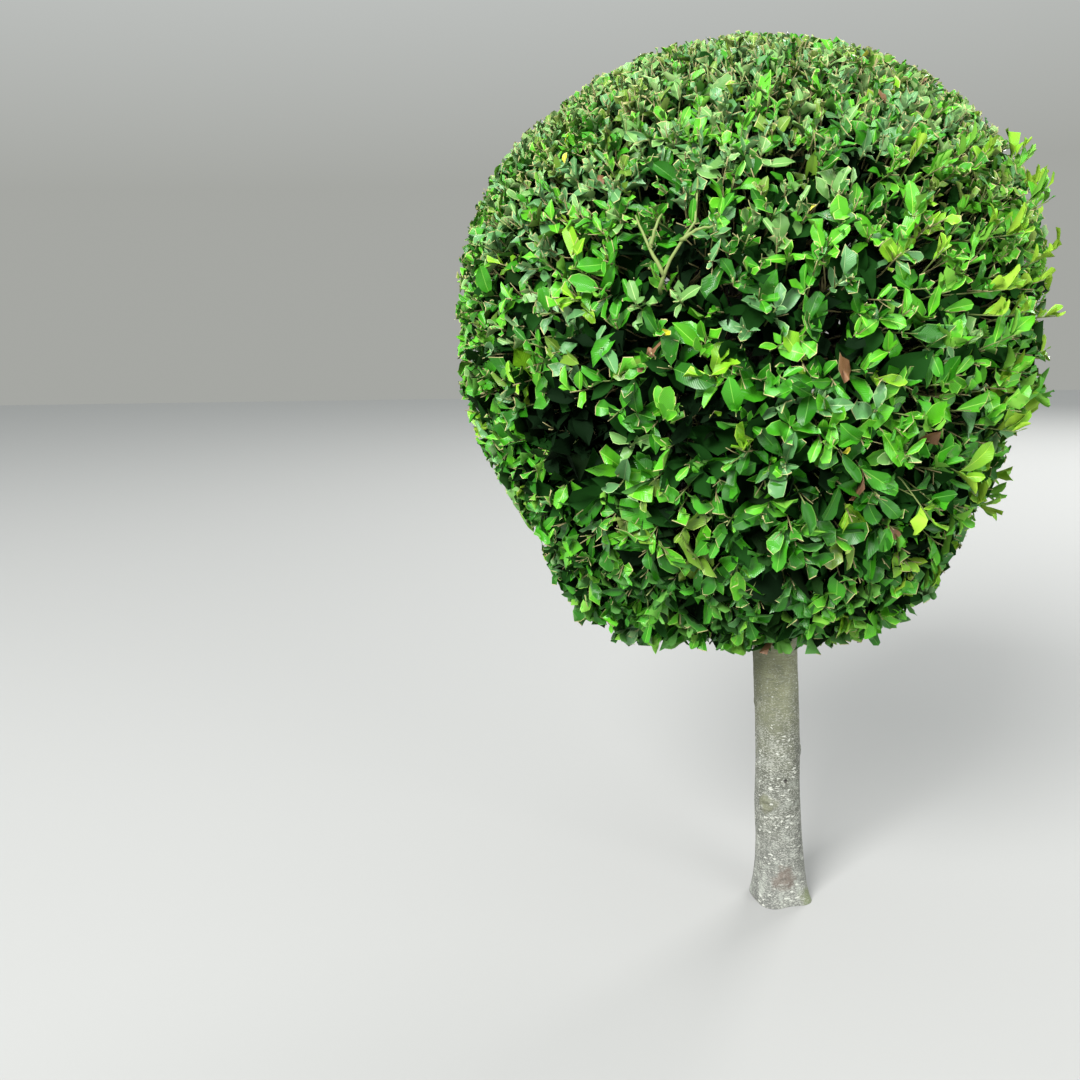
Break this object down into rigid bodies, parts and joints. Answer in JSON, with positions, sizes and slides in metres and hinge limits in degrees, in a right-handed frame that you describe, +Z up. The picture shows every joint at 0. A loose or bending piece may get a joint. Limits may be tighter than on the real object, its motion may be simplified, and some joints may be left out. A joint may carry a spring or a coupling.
{
  "type": "standard bay laurel topiary tree",
  "caption": "Standard laurel topiary: a clean, lightly flared trunk that forks just inside a clipped, egg-shaped ball of glossy evergreen leaves.",
  "frame": {"origin": "middle of the flat cut under the trunk, at ground level", "axes": "+Z up along the trunk; -Y is the side that faces the viewer in the picture, +X is to the viewer's right"},
  "size_m": [1.3963, 1.3644, 2.1616],
  "materials": {
    "bark": "smooth grey-beige bark, matt, with pale lenticels",
    "foliage": "glossy leaves, dark to yellow-green"
  },
  "bodies": {
    "root": {"trunk": "bark", "bough_1": "bark", "bough_2": "bark", "bough_3": "bark", "bough_4": "bark", "bough_5": "bark", "leading_bough": "bark", "low_bough": "bark", "foliage_ball": "foliage"}
  },
  "joints": []
}
